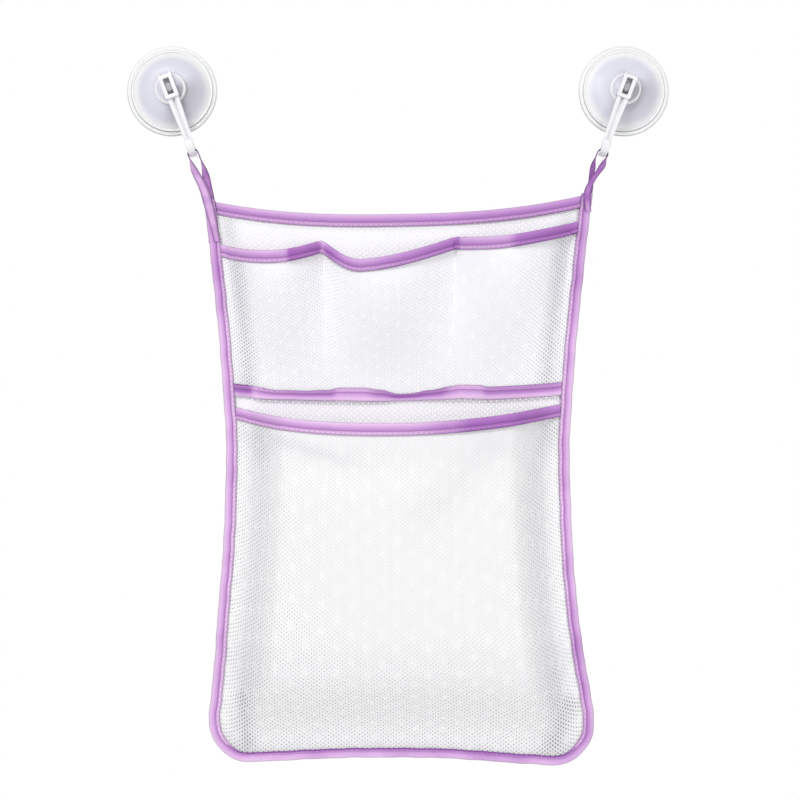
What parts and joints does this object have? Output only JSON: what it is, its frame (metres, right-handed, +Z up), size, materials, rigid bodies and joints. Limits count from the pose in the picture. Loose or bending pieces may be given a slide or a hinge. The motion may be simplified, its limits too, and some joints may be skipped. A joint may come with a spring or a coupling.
{
  "type": "bath toy organizer",
  "caption": "Hanging net bag with a wide lower pocket and small upper pockets, bound in purple tape and hung by loops from swivel hooks on suction cups.",
  "frame": {"origin": "on the wall, midway between the axes of the two suction cups", "axes": "+X to the right as seen from the front, +Y into the wall, +Z up; the bag's front faces -Y"},
  "size_m": [0.498, 0.0642, 0.6547],
  "materials": {
    "clear_vinyl": "clear soft vinyl, frosted towards the middle",
    "white_plastic": "glossy white moulded plastic",
    "white_net": "white polyester hexagon net",
    "purple_tape": "orchid purple satin binding tape, sewn with matching thread"
  },
  "bodies": {
    "cups": {"left_suction_cup": "clear_vinyl", "right_suction_cup": "clear_vinyl"},
    "left_hook": {"left_hook": "white_plastic"},
    "right_hook": {"right_hook": "white_plastic"},
    "loops": {"left_loop": "purple_tape", "right_loop": "purple_tape"},
    "bag": {"back_panel": "white_net", "upper_pocket_panel": "white_net", "lower_pocket_panel": "white_net", "top_edge_binding": "purple_tape", "upper_mouth_binding": "purple_tape", "upper_seam_binding": "purple_tape", "lower_mouth_binding": "purple_tape", "edge_binding": "purple_tape"}
  },
  "joints": [
    {"name": "bag_sway", "type": "hinge", "parent": "cups", "child": "loops", "pos_m": [0, -0.0248, -0.55498], "axis": [0, 1, 0], "range_deg": [-0.8, 0.8], "stiffness_Nm_per_rad": 6},
    {"name": "left_hook_swivel", "type": "hinge", "parent": "cups", "child": "left_hook", "pos_m": [-0.2075, -0.014, 0], "axis": [0, 1, 0], "range_deg": [-6.4, 6.4]},
    {"name": "right_hook_swivel", "type": "hinge", "parent": "cups", "child": "right_hook", "pos_m": [0.2075, -0.014, 0], "axis": [0, 1, 0], "range_deg": [-6.4, 6.4]},
    {"name": "bag_swing", "type": "hinge", "parent": "loops", "child": "bag", "pos_m": [0, -0.0271, -0.10087], "axis": [-0.9998, 0, -0.0174], "range_deg": [0, 75]}
  ],
  "couplings": [
    {"joint": "left_hook_swivel", "follows": "bag_sway", "ratio": -7.8699},
    {"joint": "right_hook_swivel", "follows": "bag_sway", "ratio": -7.8699}
  ]
}
